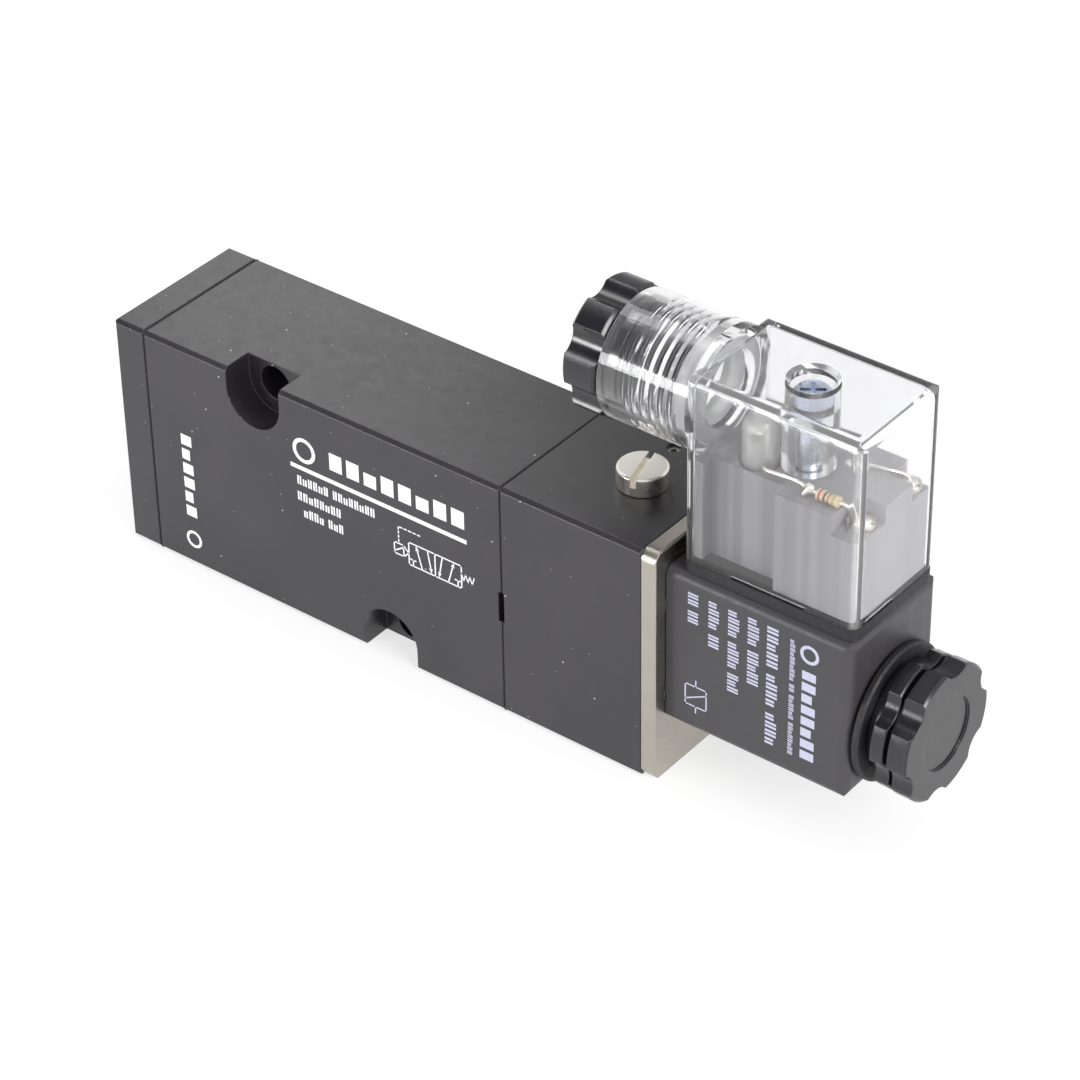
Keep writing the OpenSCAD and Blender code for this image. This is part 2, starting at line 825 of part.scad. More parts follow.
module coil_housing() {
    y0 = axis_y - coil_w / 2;
    y1 = axis_y + coil_w / 2;
    color(black_plastic) difference() {
        // Rounded all round except where it sits against the plate
        intersection() {
            round_box(coil_x0 - 2 * coil_edge_r, coil_x1, y0, y1, -coil_below, coil_above, coil_edge_r);
            block(coil_x0, coil_x1 + 1, y0 - 1, y1 + 1, -coil_below - 1, coil_above + 1);
        }
        bar_x(coil_x0 - eps, coil_x1 + eps, coil_bore_r);
        bar_x(cavity_x0, cavity_x1, cavity_r);
        turned_x() translate([coil_bore_r - eps, coil_x0 - eps]) square([face_groove_w, face_groove_d]);
        blades(blade_z0, coil_above + eps, 0);
        bar_z(bushing_z0, coil_above + eps, screw_bushing_r, mid_x);
    }
}

module coil_bobbin() {
    x0 = cavity_x0 + yoke_t;
    x1 = cavity_x1 - yoke_t;
    flange_r = cavity_r - yoke_sleeve_t;
    color(black_plastic) difference() {
        union() {
            bar_x(x0, x1, bobbin_core_r);
            bar_x(x0, x0 + bobbin_flange_t, flange_r);
            bar_x(x1 - bobbin_flange_t, x1, flange_r);
        }
        bar_x(x0 - eps, x1 + eps, coil_bore_r);
    }
}

module coil_winding() {
    x0 = cavity_x0 + yoke_t + bobbin_flange_t;
    x1 = cavity_x1 - yoke_t - bobbin_flange_t;
    color(copper) difference() {
        bar_x(x0, x1, cavity_r - yoke_sleeve_t - 0.1);
        bar_x(x0 - eps, x1 + eps, bobbin_core_r);
    }
}

module coil_yoke() {
    x0 = cavity_x0;
    x1 = cavity_x1;
    color(steel) difference() {
        bar_x(x0, x1, cavity_r);
        bar_x(x0 + yoke_t, x1 - yoke_t, cavity_r - yoke_sleeve_t);
        bar_x(x0 - eps, x1 + eps, coil_bore_r);
    }
}

module coil_terminals() {
    color(nickel) blades(blade_z0, blade_z1, 0);
}

module coil_face_seal() {
    color(rubber) ring_x(coil_x0 + face_groove_d / 2, coil_bore_r + face_groove_w / 2, 0.55);
}

module screw_bushing() {
    color(brass_tone) difference() {
        bar_z(bushing_z0, coil_above, screw_bushing_r, mid_x);
        bar_z(bushing_z0 - eps, coil_above + eps, m3_r, mid_x);
    }
}

// ---- Coil nut ----

// Lobed slice of a knob between two stations, with bevelled rims
module knob_slice(x0, x1, r, scallop_r, depth, bevel, lobes, first, z = 0) {
    intersection() {
        along_x(x0, x1) translate([axis_y, z]) lobed_disc(r, scallop_r, depth, lobes, first);
        turned_x(z) polygon([
            [0, x0], [r - bevel, x0], [r, x0 + bevel], [r, x1 - bevel], [r - bevel, x1], [0, x1],
        ]);
    }
}

module nut_washer() {
    rim_r = 10.1;
    color(rubber) difference() {
        turned_x() polygon([
            [0, nut_washer_x0], [rim_r - 1, nut_washer_x0], [rim_r, nut_washer_x0 + 0.5],
            [rim_r, nut_washer_x1 - 0.3], [rim_r - 0.3, nut_washer_x1], [0, nut_washer_x1],
        ]);
        bar_x(nut_washer_x0 - eps, nut_washer_x1 + eps, stud_r + 0.3);
    }
}

module coil_nut() {
    neck_r = 8;
    dish_r = 5.5;
    color(black_plastic) difference() {
        union() {
            bar_x(nut_x0, nut_neck_x1 + eps, neck_r);
            knob_slice(nut_flange_x0, nut_neck_x0, 9.8, 3.4, 1.3, 0.2, nut_lobes, nut_scallop);
            knob_slice(nut_neck_x1, nut_x1, 10, 3.4, 1.4, 0.35, nut_lobes, nut_scallop);
        }
        bar_x(nut_x0 - eps, stud_x1 + 0.5, stud_r + 0.06);
        bar_x(nut_x1 - 0.35, nut_x1 + eps, dish_r);
    }
}

// ---- Connector ----

module connector_housing() {
    y0 = axis_y - housing_w / 2;
    y1 = axis_y + housing_w / 2;
    w = housing_wall;
    roof = housing_z1 - housing_top_t;
    thread = thread_points(gland_x0 + gland_plain_len, 6, gland_pitch, gland_in_r, gland_root_r);
    color(clear) difference() {
        union() {
            difference() {
                union() {
                    intersection() {
                        round_box(housing_x0, housing_x1, y0, y1, housing_z0 - 4, housing_z1, housing_edge_r);
                        block(housing_x0 - 1, housing_x1 + 1, y0 - 1, y1 + 1, housing_z0, housing_z1 + 1);
                    }
                    bar_x(gland_x0, housing_x0 + 1.8, gland_r, axis_y, gland_z);
                }
                round_box(housing_x0 + w, housing_x1 - w, y0 + w, y1 - w, housing_z0 - 4, roof,
                    housing_edge_r - w);
            }
            bar_z(screw_boss_z0, housing_z1 - 0.5, screw_boss_r, mid_x);
        }
        turned_x(gland_z) polygon(concat(
            [[0, gland_x0 - eps], [gland_in_r, gland_x0 - eps]], thread,
            [[gland_in_r, gland_step_x], [gland_hole_r, gland_step_x]],
            [[gland_hole_r, housing_x0 + 2], [0, housing_x0 + 2]]
        ));
        // Hole of the screw with its seat and a bevelled mouth
        bar_z(screw_seat_z, housing_z1 + 3, screw_hole_top_r, mid_x);
        turned_z(mid_x) polygon([
            [0, housing_z1 - screw_hole_bevel], [screw_hole_top_r, housing_z1 - screw_hole_bevel],
            [screw_mouth_r, housing_z1], [screw_mouth_r, housing_z1 + 1], [0, housing_z1 + 1],
        ]);
        bar_z(screw_boss_z0 - eps, screw_seat_z + eps, screw_clear_r, mid_x);
        // Shallow notches in the lower rim, at the front and at the right
        block(mid_x - rim_notch_w / 2, mid_x + rim_notch_w / 2, y0 - eps, y0 + rim_notch_d,
            housing_z0 - eps, housing_z0 + rim_notch_h);
        block(housing_x1 - rim_notch_d, housing_x1 + eps, y0 + 2.4, axis_y - 0.6,
            housing_z0 - eps, housing_z0 + rim_notch_h);
    }
}

module connector_insert() {
    x0 = housing_x0 + housing_wall + insert_gap;
    x1 = housing_x1 - housing_wall - insert_gap;
    y0 = axis_y - housing_w / 2 + housing_wall + insert_gap;
    y1 = axis_y + housing_w / 2 - housing_wall - insert_gap;
    color(black_plastic) difference() {
        along_z(insert_z0, insert_z1) round_rect(x0, x1, y0, y1, insert_edge_r);
        // Left half of the front set back behind a narrow rib, and two shelves at the right
        block(x0 + 1.6, mid_x + 0.4, y0 - eps, y0 + insert_step_d, insert_z0 - eps, insert_z1 + eps);
        block(shelf_x0, x1 + eps, y0 - eps, axis_y - 2.3, shelf_z, insert_z1 + eps);
        block(shelf_x0, x1 + eps, axis_y + 3.9, y1 + eps, shelf_z, insert_z1 + eps);
        // Slots for the clips and a hole for the screw
        for (side = [-1, 1]) translate([mid_x + side * blade_dx, axis_y, 0])
            block(-clip_t / 2, clip_t / 2, -clip_half, clip_half, insert_z0 - eps, clip_z1);
        translate([mid_x, axis_y + earth_dy, 0])
            block(-clip_half, clip_half, -clip_t / 2, clip_t / 2, insert_z0 - eps, clip_z1);
        bar_z(insert_z0 - eps, insert_z1 + eps, screw_clear_r, mid_x);
        for (p = clamp_points) bar_z(p[2] - clamp_hole_d, p[2] + clamp_hole_d, clamp_hole_r, p[0], p[1]);
        bar_z(insert_z1 - led_sunk, insert_z1 + eps, led_flange_r + 0.05, led_x, led_y);
    }
}

module connector_gasket() {
    grow = 0.1;
    color(rubber) difference() {
        along_z(gasket_z0, housing_z0) round_rect(housing_x0 - grow, housing_x1 + grow,
            axis_y - housing_w / 2 - grow, axis_y + housing_w / 2 + grow, housing_edge_r + grow);
        blades(gasket_z0 - eps, housing_z0 + eps, 0.3);
        bar_z(gasket_z0 - eps, housing_z0 + eps, screw_clear_r, mid_x);
    }
}

module contact_clips() {
    z0 = insert_z0 + 0.2;
    z1 = clip_z1 - 0.1;
    half_l = clip_half - 0.05;
    half_t = clip_t / 2 - 0.02;
    color(brass_tone) {
        for (side = [-1, 1]) translate([mid_x + side * blade_dx, axis_y, 0]) difference() {
            block(-half_t, half_t, -half_l, half_l, z0, z1);
            block(-clip_slot / 2, clip_slot / 2, -half_l - eps, half_l + eps, z0 - eps, z1 - 1);
        }
        translate([mid_x, axis_y + earth_dy, 0]) difference() {
            block(-half_l, half_l, -half_t, half_t, z0, z1);
            block(-half_l - eps, half_l + eps, -clip_slot / 2, clip_slot / 2, z0 - eps, z1 - 1);
        }
    }
}

module clamp_screws() {
    head_r = clamp_hole_r - 0.05;
    head_h = 1;
    slot_w = 0.5;
    color(nickel) for (p = clamp_points) difference() {
        union() {
            bar_z(p[2] - clamp_hole_d + 0.2, p[2] + eps, 1.2, p[0], p[1]);
            bar_z(p[2], p[2] + head_h, head_r, p[0], p[1]);
        }
        block(p[0] - 2, p[0] + 2, p[1] - slot_w / 2, p[1] + slot_w / 2, p[2] + head_h / 2, p[2] + 2);
    }
}

module indicator_led() {
    flange_z = insert_z1 - led_sunk;
    flange_h = 1;
    dome_z = flange_z + led_h;
    color(clear) turned_z(led_x, led_y) intersection() {
        union() {
            translate([0, flange_z]) square([led_flange_r, flange_h]);
            translate([0, flange_z]) square([led_r, dome_z - flange_z]);
            translate([0, dome_z]) circle(led_r);
        }
        translate([0, flange_z]) square([led_flange_r, dome_z + led_r - flange_z]);
    }
}

module indicator_resistor() {
    waist_r = 0.65;
    end_r = 0.8;
    end_w = 0.9;
    color(cream) translate([resistor_x0, resistor_y, resistor_z]) rotate([0, 90, 0])
        rotate_extrude() {
            square([waist_r, resistor_len]);
            for (x = [0.1, resistor_len - end_w - 0.1]) translate([0, x]) square([end_r, end_w]);
        }
}

module indicator_leads() {
    wire_r = 0.28;
    run_x0 = led_x + led_flange_r;
    run_x1 = clamp_points[0][0];
    color(nickel) translate([0, resistor_y, resistor_z]) {
        local_bar(run_x0, resistor_x0, wire_r);
        local_bar(resistor_x0 + resistor_len, run_x1, wire_r);
    }
}

module gland_grommet() {
    bore = 3.8;
    rim = 7.4;
    x0 = gland_step_x - 2.8;
    x1 = gland_step_x - 0.05;
    color(frosted) turned_x(gland_z) polygon([
        [bore, x0 + 0.5], [bore + 0.5, x0], [rim - 0.6, x0], [rim, x0 + 0.6], [rim, x1], [bore + 0.3, x1],
    ]);
}

module gland_washer() {
    x0 = gland_nut_x1 + gland_thread_len + 0.1;
    color(black_plastic) difference() {
        bar_x(x0, x0 + 0.8, 7.2, axis_y, gland_z);
        bar_x(x0 - eps, x0 + 0.8 + eps, gland_nut_bore_r, axis_y, gland_z);
    }
}

module gland_nut() {
    neck_r = 7.4;
    thread_root = 6.9;
    thread_crest = 7.45;
    end_x = gland_nut_x1 + gland_thread_len;
    thread_x0 = end_x - 2 * gland_pitch - 0.2;
    color(black_plastic) difference() {
        union() {
            knob_slice(gland_nut_x0, gland_nut_x1, 9.6, 2.8, 1.45, 0.4, gland_lobes, gland_scallop, gland_z);
            turned_x(gland_z) polygon(concat(
                [[0, gland_nut_x1 - eps], [neck_r, gland_nut_x1 - eps], [neck_r, thread_x0]],
                thread_points(thread_x0, 2, gland_pitch, thread_root, thread_crest),
                [[thread_root, end_x], [0, end_x]]
            ));
        }
        bar_x(gland_nut_x0 - eps, end_x + eps, gland_nut_bore_r, axis_y, gland_z);
        turned_x(gland_z) polygon([
            [0, gland_nut_x0 - eps], [gland_nut_bore_r + 1, gland_nut_x0 - eps],
            [gland_nut_bore_r - eps, gland_nut_x0 + 1], [0, gland_nut_x0 + 1],
        ]);
    }
}

module connector_screw() {
    under = screw_seat_z + screw_seal_t;
    top = under + screw_head_h;
    color(zinc) difference() {
        turned_z(mid_x) polygon([
            [0, screw_z0], [screw_r, screw_z0], [screw_r, under], [screw_head_r, under],
            [screw_head_r, top - 0.5], [screw_head_r - 0.5, top], [0, top],
        ]);
        for (a = [35, 125]) translate([mid_x, axis_y, top - 1.1]) rotate(a)
            translate([-1.7, -0.3, 0]) cube([3.4, 0.6, 2]);
    }
}

module screw_o_ring() {
    color(rubber) turned_z(mid_x) translate([2.2, screw_seat_z + screw_seal_t / 2]) circle(screw_seal_t / 2);
}

valve_body();
end_cap();
end_cap_gasket();
end_cap_screws();
pilot_block();
pilot_gasket();
pilot_block_screws();
pilot_seat();
gallery_plug();
coil_plate();
plate_screws();
tube_o_ring();
armature_tube();
fixed_core();
override_pin();
port_seals();
return_spring();
plunger_spring();
spool();
spool_seals();
pilot_piston();
piston_seal();
plunger();
plunger_seal();
override_screw();
override_o_ring();
coil_housing();
coil_bobbin();
coil_winding();
coil_yoke();
coil_terminals();
coil_face_seal();
screw_bushing();
nut_washer();
coil_nut();
connector_housing();
connector_insert();
contact_clips();
clamp_screws();
connector_gasket();
indicator_led();
indicator_resistor();
indicator_leads();
gland_grommet();
connector_screw();
screw_o_ring();
gland_washer();
gland_nut();
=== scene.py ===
import json
import math

import bmesh
import bpy
from mathutils import Matrix, Vector


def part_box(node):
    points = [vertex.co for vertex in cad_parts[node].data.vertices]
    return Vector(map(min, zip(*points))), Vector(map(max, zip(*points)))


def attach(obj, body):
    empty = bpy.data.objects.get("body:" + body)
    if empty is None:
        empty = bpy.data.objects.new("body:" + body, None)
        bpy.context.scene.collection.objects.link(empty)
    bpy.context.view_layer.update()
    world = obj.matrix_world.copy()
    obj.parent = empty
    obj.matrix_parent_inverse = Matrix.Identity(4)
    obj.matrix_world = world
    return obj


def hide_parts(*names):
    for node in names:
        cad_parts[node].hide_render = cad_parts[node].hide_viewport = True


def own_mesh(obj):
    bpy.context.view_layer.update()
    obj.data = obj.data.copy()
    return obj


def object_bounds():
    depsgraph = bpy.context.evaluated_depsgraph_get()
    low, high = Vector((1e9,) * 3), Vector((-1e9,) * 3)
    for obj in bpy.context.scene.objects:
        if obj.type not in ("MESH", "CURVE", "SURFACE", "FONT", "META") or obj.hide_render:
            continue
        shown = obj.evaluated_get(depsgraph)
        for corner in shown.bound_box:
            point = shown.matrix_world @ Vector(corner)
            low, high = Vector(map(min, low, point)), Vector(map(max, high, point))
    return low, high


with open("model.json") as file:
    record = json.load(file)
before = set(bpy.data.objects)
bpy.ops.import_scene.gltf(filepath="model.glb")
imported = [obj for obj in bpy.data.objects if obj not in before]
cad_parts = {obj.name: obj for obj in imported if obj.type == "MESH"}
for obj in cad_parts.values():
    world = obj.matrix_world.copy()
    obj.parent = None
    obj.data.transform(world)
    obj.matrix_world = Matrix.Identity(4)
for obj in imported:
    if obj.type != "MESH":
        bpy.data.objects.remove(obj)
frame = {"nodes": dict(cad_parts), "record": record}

MM = 0.001
NODES = frame["nodes"]
CAD_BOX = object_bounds()
BODY_LOW, BODY_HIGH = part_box("valve_body")
FRONT_Y = BODY_LOW.y
AXIS_Y = (BODY_LOW.y + BODY_HIGH.y) / 2


# ---- Camera and studio ----

CAMERA_AZIMUTH = 38.6
CAMERA_ELEVATION = 35.8
CAMERA_ROLL = -1.02
CAMERA_DISTANCE = 541 * MM
CAMERA_LENS = 128.1
CAMERA_AIM = Vector((29.7 * MM, AXIS_Y, 2 * MM))
FLOOR_SIZE = 6.0
FLOOR_GAP = 0.02 * MM
SURROUND = 0.94
# Darker parts of the surround: the way to the middle, share of light left, inner and outer half-angles
SCREENS = (
    ((-0.51, -0.58, 0.63), 0.2, 16, 30),
    ((-0.51, 0.64, 0.57), 0.5, 18, 48),
)


def make_camera():
    """A long lens above and to the right of the valve."""
    azimuth = math.radians(CAMERA_AZIMUTH)
    elevation = math.radians(CAMERA_ELEVATION)
    towards = Vector((
        math.sin(azimuth) * math.cos(elevation),
        -math.cos(azimuth) * math.cos(elevation),
        math.sin(elevation),
    ))
    data = bpy.data.cameras.new("camera")
    data.lens = CAMERA_LENS
    data.sensor_width = 36
    data.clip_start = 0.01
    data.clip_end = 20
    camera = bpy.data.objects.new("camera", data)
    bpy.context.scene.collection.objects.link(camera)
    turn = (-towards).to_track_quat("-Z", "Y").to_matrix().to_4x4()
    roll = Matrix.Rotation(math.radians(CAMERA_ROLL), 4, "Z")
    camera.matrix_world = Matrix.Translation(CAMERA_AIM + towards * CAMERA_DISTANCE) @ turn @ roll
    bpy.context.scene.camera = camera


def softbox(name, place, size, power):
    """A square area light at place, turned to the middle of the valve."""
    data = bpy.data.lights.new(name, "AREA")
    data.size = size
    data.energy = power
    light = bpy.data.objects.new(name, data)
    bpy.context.scene.collection.objects.link(light)
    light.location = place
    light.rotation_euler = (CAMERA_AIM - Vector(place)).to_track_quat("-Z", "Y").to_euler()


def make_surround():
    """An even white surround, with a dark screen high at the front left and a grey one at the back left."""
    world = bpy.data.worlds.new("surround")
    world.use_nodes = True
    nodes, links = world.node_tree.nodes, world.node_tree.links
    background = nodes["Background"]
    background.inputs["Color"].default_value = (1.0, 1.0, 1.0, 1)
    way = nodes.new("ShaderNodeTexCoord").outputs["Generated"]
    strength = None
    for towards, share, inner, outer in SCREENS:
        facing = nodes.new("ShaderNodeVectorMath")
        facing.operation = "DOT_PRODUCT"
        facing.inputs[1].default_value = towards
        links.new(way, facing.inputs[0])
        level = nodes.new("ShaderNodeMapRange")
        level.interpolation_type = "SMOOTHSTEP"
        level.inputs["From Min"].default_value = math.cos(math.radians(outer))
        level.inputs["From Max"].default_value = math.cos(math.radians(inner))
        level.inputs["To Min"].default_value = 1.0
        level.inputs["To Max"].default_value = share
        links.new(facing.outputs["Value"], level.inputs["Value"])
        both = nodes.new("ShaderNodeMath")
        both.operation = "MULTIPLY"
        links.new(level.outputs["Result"], both.inputs[0])
        both.inputs[1].default_value = SURROUND
        if strength is not None:
            links.new(strength, both.inputs[1])
        strength = both.outputs["Value"]
    links.new(strength, background.inputs["Strength"])
    bpy.context.scene.world = world


def make_studio():
    """White floor and soft lights: low at the front left, at the back left, at the right and overhead."""
    bpy.context.scene.view_settings.view_transform = "Standard"
    make_surround()
    softbox("back_left_light", (-0.158, 0.142, 0.152), 0.10, 0.062)
    softbox("front_light", (-0.42, -0.77, 0.16), 0.25, 3.0)
    softbox("side_light", (1.0, -0.25, 0.5), 0.5, 8)
    softbox("overhead_light", (-0.48, 0.14, 0.85), 0.35, 1.6)

    half = FLOOR_SIZE / 2
    mesh = bpy.data.meshes.new("floor")
    corners = [(-half, -half, 0), (half, -half, 0), (half, half, 0), (-half, half, 0)]
    mesh.from_pydata(corners, [], [(0, 1, 2, 3)])
    floor = bpy.data.objects.new("floor", mesh)
    floor.location.z = CAD_BOX[0].z - FLOOR_GAP
    bpy.context.scene.collection.objects.link(floor)
    paper = Surface("floor_paper", (0.35, 0.35, 0.35, 1), 0.8)
    paper.constant("Specular IOR Level", 0.0)
    paper.constant("Emission Color", (1, 1, 1, 1))
    paper.constant("Emission Strength", 0.68)
    floor.data.materials.append(paper.material)


# ---- Material building ----

class Surface:
    """A Principled material and the few node recipes that the finishes below share."""

    def __init__(self, name, colour, roughness, metallic=0.0):
        self.material = bpy.data.materials.new(name)
        self.material.use_nodes = True
        self.tree = self.material.node_tree
        self.shader = self.tree.nodes["Principled BSDF"]
        self.constant("Base Color", colour)
        self.constant("Roughness", roughness)
        self.constant("Metallic", metallic)
        self.place = self.tree.nodes.new("ShaderNodeTexCoord").outputs["Object"]
        self.normal = None

    def constant(self, socket, value):
        self.shader.inputs[socket].default_value = value

    def feed(self, socket, output):
        self.tree.links.new(output, self.shader.inputs[socket])

    def plug(self, socket, value):
        """Links an output to a socket, or sets the socket to a plain value."""
        if isinstance(value, bpy.types.NodeSocket):
            self.tree.links.new(value, socket)
        else:
            socket.default_value = value

    def node(self, kind, inputs=(), **settings):
        made = self.tree.nodes.new(kind)
        for key, value in settings.items():
            setattr(made, key, value)
        for socket, value in dict(inputs).items():
            self.plug(made.inputs[socket], value)
        return made

    def position(self, axis):
        """The place along one axis, in metres."""
        return self.node("ShaderNodeSeparateXYZ", {"Vector": self.place}).outputs[axis]

    def along_node(self, node):
        """0 at the left end of a CAD node, rising to 1 at its right end."""
        low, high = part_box(node)
        return self.remap(self.position("X"), low.x, high.x, 0, 1)

    def stretched(self, scale):
        """The place, scaled unevenly, for grain that runs one way."""
        return self.node("ShaderNodeMapping", {"Vector": self.place, "Scale": scale}).outputs["Vector"]

    def noise(self, per_metre, detail=3.0, rough=0.55, scale=(1, 1, 1)):
        """Noise with that many waves a metre, as a 0 to 1 output."""
        made = self.node("ShaderNodeTexNoise", {
            "Vector": self.stretched(scale),
            "Scale": per_metre,
            "Detail": detail,
            "Roughness": rough,
        })
        return made.outputs["Fac"]

    def remap(self, value, low, high, to_low, to_high):
        made = self.node("ShaderNodeMapRange", {
            "Value": value, "From Min": low, "From Max": high, "To Min": to_low, "To Max": to_high,
        })
        return made.outputs["Result"]

    def math(self, operation, a, b=0.0):
        made = self.node("ShaderNodeMath", {0: a, 1: b}, operation=operation)
        return made.outputs["Value"]

    def dot(self, a, b):
        made = self.node("ShaderNodeVectorMath", {0: a, 1: b}, operation="DOT_PRODUCT")
        return made.outputs["Value"]

    def mix(self, share, first, second):
        """A colour between two colours or colour outputs, by share."""
        made = self.node("ShaderNodeMix", {"Factor": share, 6: first, 7: second}, data_type="RGBA")
        return made.outputs[2]

    def bump(self, height, depth, strength=1.0):
        """Adds relief of that depth in metres, on top of any relief before it."""
        inputs = {"Height": height, "Distance": depth, "Strength": strength}
        if self.normal is not None:
            inputs["Normal"] = self.normal
        self.normal = self.node("ShaderNodeBump", inputs).outputs["Normal"]
        self.feed("Normal", self.normal)

    def soften(self, radius):
        """Rounds the edges by that radius, in shading only, under any relief added later."""
        self.normal = self.node("ShaderNodeBevel", {"Radius": radius}, samples=4).outputs["Normal"]
        self.feed("Normal", self.normal)

    def edges(self, radius):
        """0 on open faces, rising to 1 at the edges."""
        rounded = self.node("ShaderNodeBevel", {"Radius": radius}, samples=4).outputs["Normal"]
        flat = self.node("ShaderNodeNewGeometry").outputs["Normal"]
        return self.remap(self.dot(rounded, flat), 1.0, 0.8, 0.0, 1.0)

    def rounded_corners(self):
        """0 on faces square to an axis, rising to 1 where one rounds into the next."""
        facing = self.node("ShaderNodeTexCoord").outputs["Normal"]
        split = self.node("ShaderNodeSeparateXYZ", {"Vector": facing})
        sizes = [self.math("ABSOLUTE", split.outputs[axis]) for axis in "XYZ"]
        largest = self.math("MAXIMUM", self.math("MAXIMUM", sizes[0], sizes[1]), sizes[2])
        return self.remap(largest, 0.995, 0.85, 0.0, 1.0)

    def dust(self, per_metre, speck, share):
        """1 on sparse specks that lie on the faces: one cell in so many, each of that radius in cells."""
        along = self.dot(self.place, (1, 0.5, -0.5))
        up = self.dot(self.place, (0, 1, 1))
        spread = self.node("ShaderNodeCombineXYZ", {"X": along, "Y": up})
        cells = self.node("ShaderNodeTexVoronoi", {
            "Vector": spread.outputs["Vector"], "Scale": per_metre,
        }, voronoi_dimensions="2D")
        near = self.math("LESS_THAN", cells.outputs["Distance"], speck)
        split = self.node("ShaderNodeSeparateColor", {"Color": cells.outputs["Color"]})
        chosen = self.math("LESS_THAN", split.outputs["Red"], share)
        return self.math("MULTIPLY", near, chosen)


# ---- Finishes, one for each material slot ----

def anodised_aluminium():
    """Black anodising over milled aluminium: fine etched grain, faint patches, dust, and pale edges that
    are partly worn anodising and partly a painted highlight.
    """
    s = Surface("anodised_aluminium", (0.015, 0.013, 0.016, 1), 0.36)
    s.constant("Specular IOR Level", 0.75)
    s.soften(0.25 * MM)
    patches = s.noise(60, 4)
    colour = s.mix(s.remap(patches, 0.35, 0.7, 0, 1), (0.009, 0.007, 0.010, 1), (0.018, 0.015, 0.019, 1))
    # Pale edges: partly worn anodising, partly a painted highlight standing in for the glint along the
    # chamfers.
    colour = s.mix(s.math("MULTIPLY", s.edges(0.12 * MM), 0.35), colour, (0.16, 0.16, 0.17, 1))
    for per_metre, speck, share in ((150, 0.020, 0.2), (330, 0.024, 0.1)):
        colour = s.mix(s.dust(per_metre, speck, share), colour, (0.42, 0.42, 0.44, 1))
    s.feed("Base Color", colour)
    s.feed("Roughness", s.remap(s.noise(700, 5, 0.6), 0.3, 0.7, 0.32, 0.40))
    s.bump(s.noise(5200, 2), 0.006 * MM)
    s.bump(s.noise(900, 3), 0.01 * MM, 0.4)
    return s.material


def spool_aluminium():
    """Bright lathe-cut aluminium with fine rings along the spool."""
    s = Surface("spool_aluminium", (0.78, 0.79, 0.81, 1), 0.25, 1.0)
    s.feed("Roughness", s.remap(s.noise(500, 4), 0.3, 0.7, 0.2, 0.34))
    s.bump(s.noise(900, 2, scale=(14, 0.2, 0.2)), 0.004 * MM)
    return s.material


def black_moulding():
    """Black glass-filled plastic with a spark-eroded texture."""
    s = Surface("black_moulding", (0.03, 0.03, 0.033, 1), 0.5)
    s.soften(0.3 * MM)
    s.feed("Base Color", s.mix(s.noise(90, 4), (0.034, 0.032, 0.037, 1), (0.052, 0.049, 0.056, 1)))
    s.feed("Roughness", s.remap(s.noise(700, 4), 0.3, 0.7, 0.36, 0.48))
    s.bump(s.noise(3800, 2.5), 0.014 * MM)
    s.bump(s.noise(160, 2), 0.04 * MM, 0.3)
    return s.material


def knob_plastic():
    """Glossy black nylon knobs with soft flow marks and rims painted paler, partly rubbed wear and partly a
    painted highlight.
    """
    s = Surface("knob_plastic", (0.022, 0.021, 0.024, 1), 0.22)
    s.constant("Specular IOR Level", 0.65)
    s.soften(0.3 * MM)
    # Paler rims: partly rubbed wear, partly a painted highlight along the lobes' edges.
    rubbed_and_highlit = s.math("MULTIPLY", s.edges(0.2 * MM), 0.6)
    s.feed("Base Color", s.mix(rubbed_and_highlit, (0.010, 0.009, 0.012, 1), (0.11, 0.108, 0.115, 1)))
    s.feed("Roughness", s.remap(s.noise(420, 5, 0.6), 0.3, 0.7, 0.14, 0.26))
    s.bump(s.noise(1500, 2), 0.006 * MM)
    s.bump(s.noise(240, 2), 0.03 * MM, 0.35)
    return s.material


def rubber():
    """Matt black nitrile with a dusty bloom."""
    s = Surface("rubber", (0.012, 0.011, 0.013, 1), 0.6)
    s.feed("Base Color", s.mix(s.noise(300, 5, 0.65), (0.007, 0.006, 0.008, 1), (0.017, 0.015, 0.018, 1)))
    s.feed("Roughness", s.remap(s.noise(900, 3), 0.3, 0.7, 0.5, 0.68))
    s.bump(s.noise(2600, 3), 0.01 * MM)
    return s.material


def nickel_plate():
    """Warm satin nickel with handling smudges, in lit and shaded copies: what stands above the body is
    painted brighter as if lit, and the plate below is painted darker as painted shade.
    """
    s = Surface("nickel_plate", (0.62, 0.58, 0.52, 1), 0.28, 1.0)
    s.soften(0.2 * MM)
    tone = s.noise(130, 4)
    # Painted shade and light: one nickel, painted darker on the plate and brighter above the body's top.
    shaded_plate_colour = s.mix(tone, (0.38, 0.355, 0.315, 1), (0.50, 0.47, 0.42, 1))
    lit_top_colour = s.mix(tone, (0.84, 0.81, 0.74, 1), (0.93, 0.90, 0.83, 1))
    on_top = s.math("GREATER_THAN", s.position("Z"), BODY_HIGH.z)
    s.feed("Base Color", s.mix(on_top, shaded_plate_colour, lit_top_colour))
    s.feed("Roughness", s.remap(s.noise(320, 5, 0.65), 0.3, 0.7, 0.24, 0.38))
    s.bump(s.noise(260, 3, scale=(1, 1, 16)), 0.004 * MM, 0.6)
    s.bump(s.noise(3000, 2), 0.004 * MM, 0.6)
    return s.material


def zinc_steel():
    """Blue-passivated zinc."""
    s = Surface("zinc_steel", (0.62, 0.70, 0.84, 1), 0.26, 1.0)
    s.feed("Base Color", s.mix(s.noise(700, 4), (0.55, 0.64, 0.82, 1), (0.74, 0.78, 0.86, 1)))
    s.feed("Roughness", s.remap(s.noise(1200, 3), 0.3, 0.7, 0.2, 0.34))
    s.bump(s.noise(2600, 2), 0.004 * MM)
    return s.material


